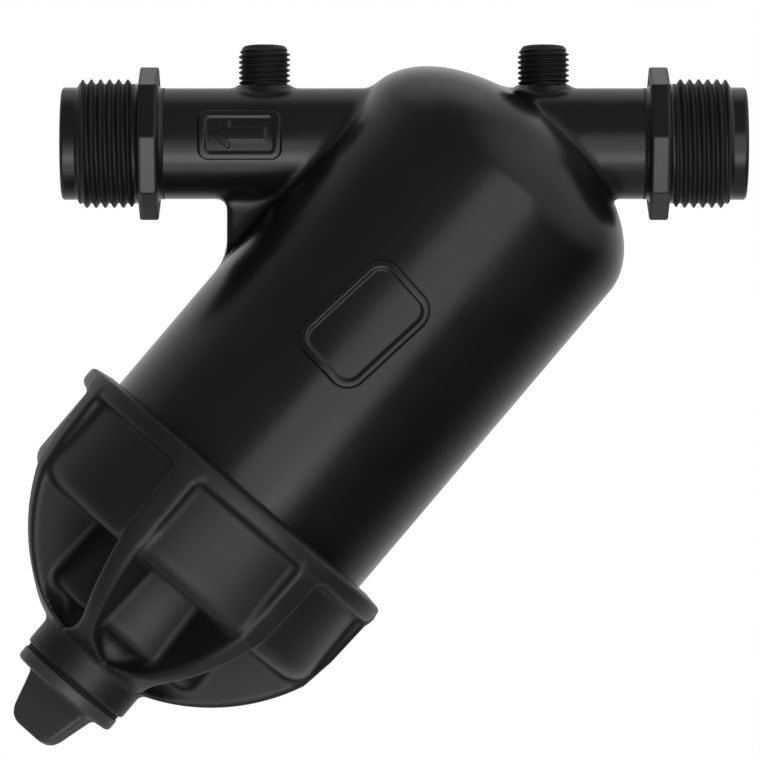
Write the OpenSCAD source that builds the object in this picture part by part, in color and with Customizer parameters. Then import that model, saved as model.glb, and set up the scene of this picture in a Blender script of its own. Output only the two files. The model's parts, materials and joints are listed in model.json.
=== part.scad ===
// Y-type irrigation disc filter with male threaded pipe ends, an inclined barrel and a screw-on ribbed bowl.
// The pipe runs along X, the pressure points stand up along Z and the label faces -Y.
// The origin is on the pipe axis where the outlet thread starts at full diameter.

/* [Pipe run] */
// Length of the pipe from end face to end face
pipe_len = 174; // [160:1:200]
// Outside diameter of the plain pipe
pipe_d = 28.2; // [27:0.1:29.5]
// Water bore of the pipe
bore_d = 22.5; // [18:0.5:23]
// Plain pilot ahead of the thread, length
pilot_len = 3.2; // [2:0.1:5]
// Plain pilot ahead of the thread, diameter
pilot_d = 28.6; // [27.5:0.1:29.5]
// Pipe thread, outside diameter (G1)
thread_d = 33.249; // [33:0.001:33.4]
// Pipe thread, length
thread_len = 14.8; // [12:0.1:18]
// Bevel at the start of the pipe thread
thread_bevel = 1; // [0.4:0.1:1.5]
// Plain run-out between thread and collar, length
runout_len = 1.8; // [1:0.1:3]
// Plain run-out between thread and collar, diameter
runout_d = 30.3; // [29.5:0.1:31]
// Width of the eight-sided collar
collar_w = 4.9; // [3:0.1:8]
// Size of the collar across its flats
collar_af = 36; // [34.5:0.5:40]

/* [Pressure points] */
// Distance of each pressure point from the middle of the pipe
point_x = 35.5; // [33:0.5:40]
// Height of a pressure point above the pipe axis
point_h = 24.9; // [22:0.1:30]
// Thread of a pressure point, outside diameter (G1/4)
point_d = 13.157; // [12.9:0.001:13.4]
// Tip diameter ahead of the thread
point_tip_d = 10.8; // [10:0.1:11.6]
// Height of the bevelled tip
point_tip_h = 1.6; // [1:0.1:2.5]
// Diameter of the flared foot
point_foot_d = 15.8; // [15:0.1:18]
// Height of the flared foot above the pipe
point_foot_h = 2; // [1:0.1:3]
// Blind hole in a pressure point, diameter
point_hole_d = 6; // [4:0.5:8]
// Blind hole in a pressure point, depth
point_hole_depth = 11; // [6:0.5:12]

/* [Barrel] */
// Slope of the barrel axis against the pipe
slope = 49.7; // [48:0.1:54]
// Where the barrel axis crosses the pipe axis, from the middle of the pipe
cross_x = 32; // [29:0.1:33]
// Outside diameter of the barrel
barrel_d = 79.7; // [78.5:0.1:81]
// Wall of the barrel
barrel_wall = 3.3; // [2.6:0.1:3.6]
// Where the dome starts, along the barrel axis below the crossing
dome_at = 15.5; // [15:0.1:19]
// Height of the dome
dome_h = 23.5; // [23:0.2:27]
// Distance from the crossing to the rim of the bowl
rim_at = 115.2; // [114.2:0.2:125]
// Length of barrel inside the bowl
mouth_len = 18.5; // [16:0.5:19.5]
// Wall of the elbow and nozzle inside the barrel
nozzle_wall = 3.2; // [2.6:0.1:3.4]
// Water bore of the nozzle
nozzle_bore_d = 21; // [18:0.5:21.5]
// Length of the nozzle below the crossing
nozzle_at = 37; // [36:0.5:37.5]
// Thickness of the web between pipe and barrel
web_t = 5; // [3:0.5:8]
// Distance of the web's upright edge from the middle of the pipe
web_x = 45; // [42:0.5:48]

/* [Plates] */
// Length of the plate on the barrel
plate_l = 31; // [28:0.5:36]
// Height of the plate on the barrel
plate_h = 20; // [16:0.2:22]
// Corner radius of the plate on the barrel
plate_r = 5; // [3:0.5:7]
// Height of the plates above the surface
plate_up = 1.3; // [0.8:0.1:2]
// Width of the raised border of the plates
plate_border = 1.9; // [1:0.1:2.2]
// Depth of the panel below the border
panel_depth = 0.7; // [0.4:0.1:0.8]
// Distance of the plate above the rim of the bowl
plate_at = 51.4; // [50:0.2:58]
// Turn of the plate round the barrel, away from the front
plate_off = 1.1; // [0:0.1:4]
// Turn of the plate against the barrel axis
plate_turn = 7; // [0:1:10]
// Length of the arrow plate on the pipe
arrow_l = 21; // [19:0.2:22]
// Height of the arrow plate on the pipe
arrow_h = 12.2; // [11:0.2:13]
// Corner radius of the arrow plate
arrow_r = 2.6; // [2:0.2:4]
// Half width of the arrow's head
arrow_head = 3.7; // [2:0.1:4]
// Half length of the arrow
arrow_half = 6.6; // [5:0.1:7]
// Distance of the arrow plate from the middle of the pipe
arrow_x = 41.5; // [40:0.1:43]
// Height of the arrow plate above the pipe axis
arrow_z = 1.1; // [0.5:0.1:3.5]

/* [Bowl] */
// Clearance between barrel and bowl
bowl_gap = 0.5; // [0.35:0.05:0.6]
// Outside diameter of the bowl's rim
rim_d = 95.4; // [95:0.2:98]
// Height of the rim
rim_h = 4.6; // [4:0.1:6]
// Rise of the rim's sloped top
rim_rise = 1.3; // [0.6:0.1:1.8]
// Outside diameter of the cup between the ribs
cup_d = 89.6; // [89:0.2:90.4]
// Depth of the cup's outer floor
cup_h = 28.5; // [28:0.5:30]
// Corner radius of the cup
cup_r = 5; // [3:0.5:6]
// Wall of the cup's floor and of the sump
cup_wall = 2.6; // [2.2:0.1:2.8]
// Outside diameter of the sump
sump_d = 48.8; // [48.4:0.2:50]
// Depth of the sump's outer floor
sump_h = 47.6; // [47.4:0.2:48.4]
// Corner radius of the sump
sump_r = 3; // [2:0.5:3.5]
// Outside diameter of the drain neck
neck_d = 30.8; // [30.6:0.2:31.4]
// Depth of the drain neck's end
neck_h = 63.4; // [62:0.1:65]
// Number of ribs
rib_count = 7; // [6:1:9]
// Turn of the ribs round the axis
rib_phase = 25.7; // [0:0.1:51]
// Rib outside diameter below the rim
rib_top_d = 94.4; // [93:0.2:94.8]
// Rib outside diameter at the knee
rib_knee_d = 92.6; // [91.6:0.2:93]
// Depth of the knee
rib_knee_h = 24.9; // [23:0.1:26]
// Depth where the ribs run out on the neck
rib_end_h = 56; // [54:0.2:58]
// Radius of the ribs' lower sweep
rib_sweep = 53; // [48:1:80]
// Rib width below the rim
rib_w = 7.5; // [6:0.1:9]
// Depth where the ribs start to narrow
rib_taper_h = 15; // [8:0.5:22]
// Rib width at the neck
rib_end_w = 3.4; // [2.5:0.1:4.5]

/* [Bowl seal] */
// Cord of the bowl's ring
seal_cord = 4.4; // [4.2:0.1:4.6]
// Height of the squeezed bowl's ring
seal_h = 3.8; // [3.5:0.1:4]
// Clearance between the bowl's ring and its land
seal_gap = 0.02; // [0.01:0.01:0.05]
// Width of the land under the bowl's ring
land_w = 4.8; // [4.7:0.1:5.2]

/* [Drain plug] */
// Plug thread, outside diameter (G3/4)
plug_d = 26.441; // [26.2:0.001:26.5]
// Clearance of the plug's thread
plug_gap = 0.35; // [0.3:0.05:0.45]
// Length of the plug's shank
plug_len = 13; // [11:0.5:14]
// Plug flange diameter
plug_flange_d = 29.8; // [29.4:0.2:31]
// Plug flange height
plug_flange_h = 3.6; // [3:0.1:4.5]
// Edge radius of the plug's flange
plug_edge = 1; // [0.5:0.1:1.4]
// Hollow of the plug, diameter
plug_hollow_d = 19; // [16:0.5:21]
// Hollow of the plug, depth
plug_hollow_h = 12; // [9:0.5:13]
// Height of the plug's ring
ring_h = 1; // [0.8:0.1:1.6]
// Width of the plug's ring
ring_w = 1; // [0.8:0.1:1.5]
// Clearance of the rings on the turning pieces
ring_gap = 0.3; // [0.25:0.05:0.35]
// Length of the wing
wing_h = 13; // [10:0.2:16]
// Width of the wing at its root
wing_w = 21; // [18:0.5:24]
// Width of the wing at its end
wing_end_w = 14; // [10:0.5:16]
// Thickness of the wing
wing_t = 6; // [4:0.2:8]
// Corner radius of the wing
wing_r = 2.5; // [1.5:0.1:3.5]
// Flare of the wing above its rounded corners
wing_flare = 0.7; // [0:0.1:1]
// Turn of the wing round the axis
wing_turn = 25; // [0:1:90]

/* [Disc element] */
// Number of discs
disc_count = 46; // [30:1:46]
// Thickness of one disc
disc_t = 1.9; // [1.7:0.02:1.92]
// Outside diameter of a disc
disc_d = 56; // [50:0.5:60]
// Hole of a disc
disc_hole_d = 40.4; // [39:0.2:41]
// Bevel round the edge of a disc
disc_bevel = 0.4; // [0.2:0.05:0.6]
// Clearance between discs and spine
disc_gap = 0.2; // [0.1:0.05:0.4]
// Wall of the spine's tube
spine_wall = 3; // [2.4:0.1:3.2]
// Clearance between the spine's end and the nut's end wall
spine_play = 1; // [0.5:0.1:2]
// Number of guide ribs on the spine
guide_count = 6; // [4:1:6]
// Width of a guide rib
guide_w = 3; // [2:0.2:4]
// How far the guide ribs stop short of the stack's end
guide_short = 1; // [0.5:0.1:3]
// Number of window rows in the spine
window_rows = 5; // [3:1:6]
// Width of a window
window_w = 7; // [5:0.5:8]
// Bar between two rows of windows
window_bar = 4; // [3:0.5:6]
// Where the spine's head starts, below the crossing
head_at = 27; // [25:0.5:28]
// Outside diameter of the spine's head
head_d = 39; // [38.4:0.2:40]
// Clearance of the head on the nozzle
head_gap = 0.5; // [0.35:0.05:0.6]
// Clearance between the nozzle's end and the head's floor
head_play = 1; // [0.5:0.1:1.5]
// Step between the head's floor and its flange
head_step = 2; // [1:0.1:3]
// Thickness of the head's flange
flange_t = 3.5; // [3:0.1:5]
// Lip of the head below its ring
head_lip = 4; // [3:0.1:5]
// Height of the ring in the head
head_ring_h = 3; // [2.4:0.1:3.4]
// Width of the ring in the head
head_ring_w = 2.4; // [2:0.1:2.6]
// Running clearance of the ring on the nozzle
head_ring_gap = 0.1; // [0.05:0.01:0.1]
// Thickness of the pressure plate
press_t = 3.5; // [3:0.1:4]
// Clearance between the tightening nut and the sump
nut_play = 1.8; // [1.4:0.1:2.4]
// End wall of the tightening nut
nut_wall = 5; // [3:0.5:7]
// Side wall of the nut
nut_side = 3.7; // [3.2:0.1:4.2]
// Clearance between spine and nut
nut_gap = 0.3; // [0.2:0.05:0.5]
// Number of grip flutes on the nut
flute_count = 12; // [8:1:16]
// Diameter of a grip flute
flute_d = 5; // [3:0.2:6]
// Depth of a grip flute
flute_depth = 1; // [0.5:0.1:1.4]
// Plain collar above the grip flutes
flute_from = 2; // [1:0.5:6]

/* [Hidden] */
$fn = 96;
eps = 0.01;
end_len = pilot_len + thread_bevel;
mid_x = pipe_len / 2 - end_len;
pipe_r = pipe_d / 2;
bore_r = bore_d / 2;
barrel_r = barrel_d / 2;
cavity_r = barrel_r - barrel_wall;
mouth_at = rim_at + mouth_len;
nozzle_r = nozzle_bore_d / 2 + nozzle_wall;
skirt_r = barrel_r + bowl_gap;
land_at = mouth_at + seal_h + seal_gap;
seal_r = skirt_r - ring_gap - seal_cord / 2;
land_r = skirt_r - land_w;
cup_floor = cup_h - cup_wall;
sump_ir = sump_d / 2 - cup_wall;
sump_floor = sump_h - cup_wall;
plug_r = plug_d / 2;
plug_hole_r = plug_r + plug_gap;
plug_at = rim_at + neck_h + ring_h;
disc_r = disc_d / 2;
nut_r = sump_ir - nut_play;
spine_r = nut_r - nut_side - nut_gap;
spine_ir = spine_r - spine_wall;
guide_r = disc_hole_d / 2 - disc_gap;
head_floor = nozzle_at + head_play;
stack_at = head_floor + head_step + flange_t;
stack_end = stack_at + disc_count * disc_t;
nut_at = stack_end + press_t;
nut_end = rim_at + sump_floor;
spine_end = nut_end - nut_wall - spine_play;
head_ring_at = head_at + head_lip;

function two(i) = i < 10 ? str("0", i) : str(i);
function disc_name(i) = str("disc_", two(i));
function turn_arc(c, r, from, to, n) =
    [for (i = [0:n]) c + r * [cos(from + (to - from) * i / n), sin(from + (to - from) * i / n)]];
// Points of a quarter ellipse from the wall to the axis
function dome_arc(r, h, at, n) = [for (i = [0:n]) [r * cos(90 * i / n), at - h * sin(90 * i / n)]];
// Points of an arc of radius r that bulges outwards from p to q
function sweep_arc(p, q, r, n) =
    let (d = q - p, l = norm(d), m = (p + q) / 2, nrm = [-d[1], d[0]] / l)
    let (c = m + nrm * sqrt(r * r - l * l / 4))
    let (a = atan2(p[1] - c[1], p[0] - c[0]), b = atan2(q[1] - c[1], q[0] - c[0]))
    turn_arc(c, r, a, b, n);

// Which node to draw

// Puts its children on the barrel axis, with Z running down the axis from the crossing
module on_axis() {
    translate([mid_x + cross_x, 0, 0])
        rotate([0, -90 - slope, 0])
            children();
}

module tube_x(from, to, d) {
    translate([from, 0, 0])
        rotate([0, 90, 0])
            cylinder(d = d, h = to - from);
}

module round_rect(l, h, r) {
    square([l - 2 * r, h], center = true);
    square([l, h - 2 * r], center = true);
    for (x = [-1, 1], y = [-1, 1])
        translate([x * (l / 2 - r), y * (h / 2 - r)])
            circle(r);
}

// One threaded end, drawn outwards from the collar along -X
module spigot() {
    thread_from = pilot_len;
    thread_to = thread_from + thread_len;
    collar_from = thread_to + runout_len;
    translate([-end_len, 0, 0])
        rotate([0, 90, 0]) {
            cylinder(d = pilot_d, h = pilot_len + eps);
            translate([0, 0, thread_from])
                cylinder(d1 = thread_d - 2 * thread_bevel, d2 = thread_d, h = thread_bevel);
            translate([0, 0, thread_from + thread_bevel])
                cylinder(d = thread_d, h = thread_len - thread_bevel);
            translate([0, 0, thread_to])
                cylinder(d = runout_d, h = runout_len);
            translate([0, 0, collar_from])
                cylinder(d = collar_af / cos(22.5), h = collar_w, $fn = 8);
        }
}

// A threaded pressure point on top of the pipe
module pressure_point() {
    cylinder(d = point_d, h = point_h - point_tip_h);
    translate([0, 0, point_h - point_tip_h])
        cylinder(d1 = point_d, d2 = point_tip_d, h = point_tip_h);
    translate([0, 0, pipe_r - 1])
        cylinder(d = point_foot_d, h = 1);
    translate([0, 0, pipe_r])
        cylinder(d1 = point_foot_d, d2 = point_d, h = point_foot_h);
}

module barrel_outside() {
    rotate_extrude()
        polygon(concat([[0, mouth_at], [barrel_r, mouth_at]], dome_arc(barrel_r, dome_h, dome_at, 24)));
}

module barrel_inside() {
    rotate_extrude()
        polygon(concat([[0, mouth_at + 1], [cavity_r, mouth_at + 1]],
            dome_arc(cavity_r, dome_h - barrel_wall, dome_at, 16)));
}

// Web under the outlet side, between pipe and barrel
module web() {
    lean = barrel_r - barrel_wall / 2;
    top = -pipe_r / 2;
    foot = (cross_x + web_x - lean / sin(slope)) * -tan(slope);
    translate([mid_x, web_t / 2, 0])
        rotate([90, 0, 0])
            linear_extrude(web_t)
                polygon([[-web_x, top], [-web_x, foot],
                    [cross_x + top / tan(slope) - lean / sin(slope), top]]);
}

// Raised plate with a sunk panel, bent round a cylinder of radius r along Z
module bent_plate(r, l, h, corner, turned, depth) {
    difference() {
        intersection() {
            cylinder(r = r + plate_up, h = 4 * l, center = true);
            rotate([90, 0, 0])
                linear_extrude(r + plate_up + 1)
                    rotate(turned)
                        round_rect(l, h, corner);
        }
        intersection() {
            difference() {
                cylinder(r = r + plate_up + 1, h = 4 * l, center = true);
                cylinder(r = r + plate_up - depth, h = 4 * l + 1, center = true);
            }
            rotate([90, 0, 0])
                linear_extrude(r + plate_up + 2)
                    rotate(turned)
                        round_rect(l - 2 * plate_border, h - 2 * plate_border, corner - plate_border);
        }
        cylinder(r = r / 2, h = 5 * l, center = true);
    }
}

module barrel_plate() {
    translate([0, 0, rim_at - plate_at])
        rotate([0, 0, plate_off])
            bent_plate(barrel_r, plate_l, plate_h, plate_r, 90 - plate_turn, panel_depth);
}

// Flow arrow in a frame, pointing at the outlet
module arrow_plate() {
    lift = asin(arrow_z / pipe_r);
    head = arrow_head;
    tail = arrow_half;
    translate([mid_x - arrow_x, 0, 0])
        rotate([-lift, 0, 0])
            rotate([0, 90, 0]) {
                bent_plate(pipe_r, arrow_h, arrow_l, arrow_r, 0, panel_depth);
                intersection() {
                    cylinder(r = pipe_r + plate_up, h = arrow_l, center = true);
                    rotate([90, 0, 0])
                        linear_extrude(pipe_r + plate_up + 1)
                            polygon([[0, -tail], [head, head - tail], [head / 2, head - tail], [head / 2, tail],
                                [-head / 2, tail], [-head / 2, head - tail], [-head, head - tail]]);
                }
            }
}

module body_outside() {
    tube_x(0, 2 * mid_x, pipe_d);
    spigot();
    translate([2 * mid_x, 0, 0])
        rotate([0, 0, 180])
            spigot();
    for (side = [-1, 1])
        translate([mid_x + side * point_x, 0, 0])
            pressure_point();
    web();
    on_axis() {
        barrel_outside();
        barrel_plate();
    }
    arrow_plate();
}

// The elbow from the inlet to the nozzle, with both tubes run on past the crossing
module elbow(inlet_r, down_r, inlet_to, down_to, past) {
    tube_x(mid_x + cross_x - past, inlet_to, 2 * inlet_r);
    on_axis()
        translate([0, 0, -past])
            cylinder(r = down_r, h = down_to + past);
}

module filter_body() {
    past = bore_r * tan(slope / 2);
    color([0.06, 0.06, 0.065])
        difference() {
            body_outside();
            difference() {
                on_axis()
                    barrel_inside();
                elbow(bore_r + nozzle_wall, nozzle_r, mid_x + cross_x + barrel_r, nozzle_at, past + nozzle_wall);
            }
            elbow(bore_r, nozzle_bore_d / 2, pipe_len, nozzle_at + 1, past);
            tube_x(-end_len - 1, mid_x + cross_x - cavity_r, bore_d);
            for (side = [-1, 1])
                translate([mid_x + side * point_x, 0, point_h - point_hole_depth])
                    cylinder(d = point_hole_d, h = point_hole_depth + 1);
        }
}

module bowl_outside() {
    rotate_extrude()
        polygon(concat(
            [[0, -rim_rise], [skirt_r, -rim_rise], [rim_d / 2, 0], [rim_d / 2, rim_h], [cup_d / 2, rim_h]],
            turn_arc([cup_d / 2 - cup_r, cup_h - cup_r], cup_r, 0, 90, 8),
            [[sump_d / 2, cup_h]],
            turn_arc([sump_d / 2 - sump_r, sump_h - sump_r], sump_r, 0, 90, 6),
            [[neck_d / 2, sump_h], [neck_d / 2, neck_h], [0, neck_h]]));
}

module bowl_inside() {
    rotate_extrude()
        polygon([[0, -rim_rise - 1], [skirt_r, -rim_rise - 1], [skirt_r, land_at - rim_at],
            [land_r, land_at - rim_at], [land_r, cup_floor], [sump_ir, cup_floor], [sump_ir, sump_floor],
            [plug_hole_r, sump_floor], [plug_hole_r, neck_h + 1], [0, neck_h + 1]]);
}

// The outer sweep that the ribs share
module rib_envelope() {
    knee = [rib_knee_d / 2, rib_knee_h];
    end = [neck_d / 2 - 1, rib_end_h];
    rotate_extrude()
        polygon(concat([[0, rim_h - 1], [rib_top_d / 2, rim_h - 1]], sweep_arc(knee, end, rib_sweep, 18),
            [[0, rib_end_h]]));
}

module rib_plan() {
    polygon([[-rib_w / 2, 0], [rib_w / 2, 0], [rib_w / 2, rib_taper_h],
        [rib_end_w / 2, rib_end_h + 1], [-rib_end_w / 2, rib_end_h + 1], [-rib_w / 2, rib_taper_h]]);
}

module screw_bowl() {
    color([0.07, 0.07, 0.075])
        on_axis()
            translate([0, 0, rim_at])
                difference() {
                    union() {
                        bowl_outside();
                        intersection() {
                            rib_envelope();
                            for (i = [0:rib_count - 1])
                                rotate([0, 0, rib_phase + i * 360 / rib_count])
                                    translate([plug_hole_r - 1, 0, 0])
                                        rotate([90, 0, 90])
                                            linear_extrude(rim_d)
                                                rib_plan();
                        }
                    }
                    bowl_inside();
                }
}

module bowl_o_ring() {
    color([0.12, 0.12, 0.12])
        on_axis()
            translate([0, 0, mouth_at + seal_h / 2])
                rotate_extrude()
                    translate([seal_r, 0])
                        intersection() {
                            circle(d = seal_cord);
                            square([seal_cord, seal_h], center = true);
                        }
}

module wing() {
    rotate([90, 0, wing_turn])
        linear_extrude(wing_t, center = true) {
            polygon([[-wing_w / 2, -eps], [wing_w / 2, -eps], [wing_end_w / 2 + wing_flare, wing_h - wing_r],
                [wing_end_w / 2 - wing_r, wing_h], [-wing_end_w / 2 + wing_r, wing_h],
                [-wing_end_w / 2 - wing_flare, wing_h - wing_r]]);
            for (side = [-1, 1])
                translate([side * (wing_end_w / 2 - wing_r), wing_h - wing_r])
                    circle(wing_r);
        }
}

module drain_plug() {
    color([0.06, 0.06, 0.065])
        on_axis()
            translate([0, 0, plug_at]) {
                difference() {
                    union() {
                        rotate_extrude()
                            polygon(concat([[0, 0], [plug_flange_d / 2, 0]],
                                turn_arc([plug_flange_d / 2 - plug_edge, plug_flange_h - plug_edge],
                                    plug_edge, 0, 90, 6),
                                [[0, plug_flange_h]]));
                        translate([0, 0, -plug_len])
                            cylinder(r = plug_r, h = plug_len + eps);
                    }
                    translate([0, 0, -plug_len - 1])
                        cylinder(d = plug_hollow_d, h = plug_hollow_h + 1);
                }
                translate([0, 0, plug_flange_h])
                    wing();
            }
}

module drain_plug_o_ring() {
    color([0.12, 0.12, 0.12])
        on_axis()
            translate([0, 0, plug_at - ring_h / 2])
                rotate_extrude()
                    translate([plug_r + ring_gap + ring_w / 2, 0])
                        square([ring_w, ring_h], center = true);
}

// Slotted tube that carries the discs, with a head that fits over the nozzle
module disc_spine() {
    window_h = (stack_end - stack_at - (window_rows + 1) * window_bar) / window_rows;
    color([0.1, 0.1, 0.11])
        on_axis()
            difference() {
                union() {
                    translate([0, 0, head_at])
                        cylinder(d = head_d, h = stack_at - head_at);
                    translate([0, 0, stack_at - flange_t])
                        cylinder(d = disc_d, h = flange_t);
                    translate([0, 0, head_floor])
                        cylinder(r = spine_r, h = spine_end - head_floor);
                    for (i = [0:guide_count - 1])
                        rotate([0, 0, i * 360 / guide_count])
                            translate([spine_r - 1, -guide_w / 2, stack_at - eps])
                                cube([guide_r - spine_r + 1, guide_w, stack_end - stack_at - guide_short]);
                }
                translate([0, 0, head_at - 1])
                    cylinder(r = nozzle_r + head_gap, h = head_floor - head_at + 1);
                translate([0, 0, head_ring_at])
                    cylinder(r = nozzle_r + head_ring_gap + head_ring_w, h = head_ring_h);
                translate([0, 0, head_floor - 1])
                    cylinder(r = spine_ir, h = spine_end - head_floor + 2);
                for (i = [0:guide_count - 1], j = [0:window_rows - 1])
                    rotate([0, 0, (i + 0.5) * 360 / guide_count])
                        translate([spine_ir - 2, -window_w / 2,
                            stack_at + window_bar + j * (window_h + window_bar)])
                            cube([spine_wall + 4, window_w, window_h]);
            }
}

module element_o_ring() {
    color([0.12, 0.12, 0.12])
        on_axis()
            translate([0, 0, head_ring_at])
                difference() {
                    cylinder(r = nozzle_r + head_ring_gap + head_ring_w, h = head_ring_h);
                    translate([0, 0, -1])
                        cylinder(r = nozzle_r + head_ring_gap, h = head_ring_h + 2);
                }
}

module pressure_plate() {
    color([0.1, 0.1, 0.11])
        on_axis()
            translate([0, 0, stack_end])
                difference() {
                    cylinder(d = disc_d, h = press_t);
                    translate([0, 0, -1])
                        cylinder(r = spine_r + disc_gap, h = press_t + 2);
                }
}

module tightening_nut() {
    color([0.1, 0.1, 0.11])
        on_axis()
            translate([0, 0, nut_at])
                difference() {
                    cylinder(r = nut_r, h = nut_end - nut_at);
                    translate([0, 0, -1])
                        cylinder(r = spine_r + nut_gap, h = nut_end - nut_at - nut_wall + 1);
                    for (i = [0:flute_count - 1])
                        rotate([0, 0, i * 360 / flute_count])
                            translate([nut_r + flute_d / 2 - flute_depth, 0, flute_from])
                                cylinder(d = flute_d, h = nut_end - nut_at);
                }
}

// One filter disc, counted from the head of the spine
module disc(i) {
    at = stack_at + (i - 1) * disc_t;
    color([0.72, 0.09, 0.07])
        on_axis()
            rotate_extrude()
                polygon([[disc_hole_d / 2, at], [disc_r - disc_bevel, at], [disc_r, at + disc_bevel],
                    [disc_r, at + disc_t - disc_bevel], [disc_r - disc_bevel, at + disc_t],
                    [disc_hole_d / 2, at + disc_t]]);
}

filter_body();
screw_bowl();
bowl_o_ring();
drain_plug();
drain_plug_o_ring();
disc_spine();
element_o_ring();
pressure_plate();
tightening_nut();
for (i = [1:disc_count])
    disc(i);
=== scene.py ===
"""Looks of a Y-type irrigation disc filter: moulded black plastic, cut threads and grooved discs."""
import json
import math

import bpy
import numpy as np
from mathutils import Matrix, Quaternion, Vector


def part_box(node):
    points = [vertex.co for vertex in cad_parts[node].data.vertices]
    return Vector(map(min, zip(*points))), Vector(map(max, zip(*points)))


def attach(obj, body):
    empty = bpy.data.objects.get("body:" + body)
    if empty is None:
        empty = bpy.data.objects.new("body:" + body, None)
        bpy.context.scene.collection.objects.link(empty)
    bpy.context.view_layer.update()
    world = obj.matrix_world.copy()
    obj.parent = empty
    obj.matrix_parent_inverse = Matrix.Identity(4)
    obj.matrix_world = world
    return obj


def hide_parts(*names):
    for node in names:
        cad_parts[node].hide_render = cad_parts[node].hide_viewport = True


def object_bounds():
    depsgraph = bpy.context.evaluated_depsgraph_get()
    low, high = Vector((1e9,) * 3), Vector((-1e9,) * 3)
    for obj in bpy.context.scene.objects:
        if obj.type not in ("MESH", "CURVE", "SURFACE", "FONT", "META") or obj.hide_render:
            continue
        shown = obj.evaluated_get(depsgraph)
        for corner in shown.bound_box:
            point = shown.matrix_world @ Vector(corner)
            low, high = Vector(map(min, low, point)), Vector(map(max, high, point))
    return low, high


bl_info = {
    "name": "Irrigation disc filter",
    "version": (1, 0, 0),
    "blender": (4, 5, 0),
    "location": "3D View > Sidebar > Filter",
    "description": "Builds the moulded pieces, threads and discs of an irrigation disc filter",
    "category": "Add Mesh",
}

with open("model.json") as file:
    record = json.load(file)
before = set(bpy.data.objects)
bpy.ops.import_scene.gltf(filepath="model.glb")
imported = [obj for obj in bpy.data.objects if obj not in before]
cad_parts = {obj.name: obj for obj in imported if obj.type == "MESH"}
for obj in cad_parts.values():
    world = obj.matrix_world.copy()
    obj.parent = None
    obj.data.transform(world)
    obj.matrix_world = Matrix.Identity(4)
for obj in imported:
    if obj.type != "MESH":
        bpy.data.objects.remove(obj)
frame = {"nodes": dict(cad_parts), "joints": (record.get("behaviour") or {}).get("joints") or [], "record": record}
CAD_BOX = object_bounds()

# The barrel axis, its crossing with the pipe axis and a side vector, in millimetres of the shared frame
JOINTS = {j["name"]: j for j in frame["joints"]}
DOWN = np.array(JOINTS["bowl_draw"]["axis"], float)
CROSS = np.array(JOINTS["bowl_turn"]["pos_m"], float) * 1000
SIDE = np.array([DOWN[2], 0.0, -DOWN[0]])
# The middle of the pipe, which starts at X 0 with the outlet's mount
MOUNTS = {m["name"]: m for m in frame["record"]["mounts"]}
MID_X = MOUNTS["inlet_thread"]["pos_m"][0] * 500
DISC_NODES = sorted(n for n in frame["nodes"] if n.startswith("disc_") and n != "disc_spine")
MM = 0.001
# In millimetres: the room under a piece that turns on a seat, the neck's end below the rim,
# the plug's ring and the depth of the thread at the barrel's mouth
SEAT = 0.08
NECK = 63.4
PLUG_RING = 1.0
MOUTH_THREAD = 1.5


def length(name, default, description):
    """A length that a user may change, given in millimetres and kept in metres."""
    return bpy.props.FloatProperty(
        name=name, description=description, default=default * MM, min=0.0, precision=5, unit="LENGTH"
    )


def colour(name, default, description):
    """A colour that a user may change."""
    return bpy.props.FloatVectorProperty(
        name=name, description=description, default=default, min=0.0, max=1.0, size=4, subtype="COLOR"
    )


def share(name, default, description):
    """A plain factor from zero to one."""
    return bpy.props.FloatProperty(
        name=name, description=description, default=default, min=0.0, max=1.0, subtype="FACTOR"
    )


class FilterBody(bpy.types.PropertyGroup):
    """Sizes of the moulded body."""

    cell: length("Mesh size", 1.145, "Spacing of the body's mesh")
    pipe_d: length("Pipe diameter", 28.2, "Outside diameter of the pipe")
    bore_d: length("Bore", 22.5, "Water bore of the pipe")
    barrel_d: length("Barrel diameter", 79.7, "Outside diameter of the barrel")
    wall: length("Barrel wall", 3.3, "Wall of the barrel")
    dome_at: length("Dome start", 15.5, "Start of the dome below the crossing")
    dome_h: length("Dome height", 23.5, "Height of the dome")
    mouth_at: length("Mouth", 133.7, "End of the barrel below the crossing")
    rim_at: length("Rim", 115.2, "Rim of the bowl below the crossing")
    mouth_pitch: length("Mouth pitch", 4.2, "Pitch of the barrel's thread for the bowl")
    blend: length("Pipe blend", 1.8, "Blend between pipe and barrel")
    web_x: length("Web edge", 45.0, "Distance of the web's edge from the middle of the pipe")
    web_t: length("Web thickness", 5.0, "Thickness of the web")
    end_len: length("Pilot and bevel", 4.2, "Distance from a thread's mount to the pipe's end")
    thread_d: length("Thread diameter", 33.249, "Outside diameter of the pipe thread")
    thread_pitch: length("Thread pitch", 2.309, "Pitch of the pipe thread")
    collar_af: length("Collar", 36.0, "Collar across its flats")
    point_x: length("Pressure points", 35.5, "Distance of the pressure points from the middle")
    point_h: length("Point height", 24.9, "Height of a pressure point above the pipe axis")
    point_d: length("Point thread", 13.157, "Outside diameter of a pressure point's thread")
    point_pitch: length("Point pitch", 1.337, "Pitch of a pressure point's thread")


class FilterBowl(bpy.types.PropertyGroup):
    """Sizes of the bowl and its plug."""

    cell: length("Mesh size", 0.785, "Spacing of the bowl's mesh")
    rib_w: length("Rib width", 7.5, "Rib width below the rim")
    rib_end_w: length("Rib end width", 3.4, "Rib width at the neck")
    rib_round: length("Rib edge", 1.6, "Softness of the ribs' edges")
    plug_pitch: length("Plug pitch", 1.814, "Pitch of the plug's thread")
    wing_turn: bpy.props.FloatProperty(
        name="Wing turn", description="Turn of the plug's wing", default=math.radians(25), subtype="ANGLE"
    )


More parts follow.
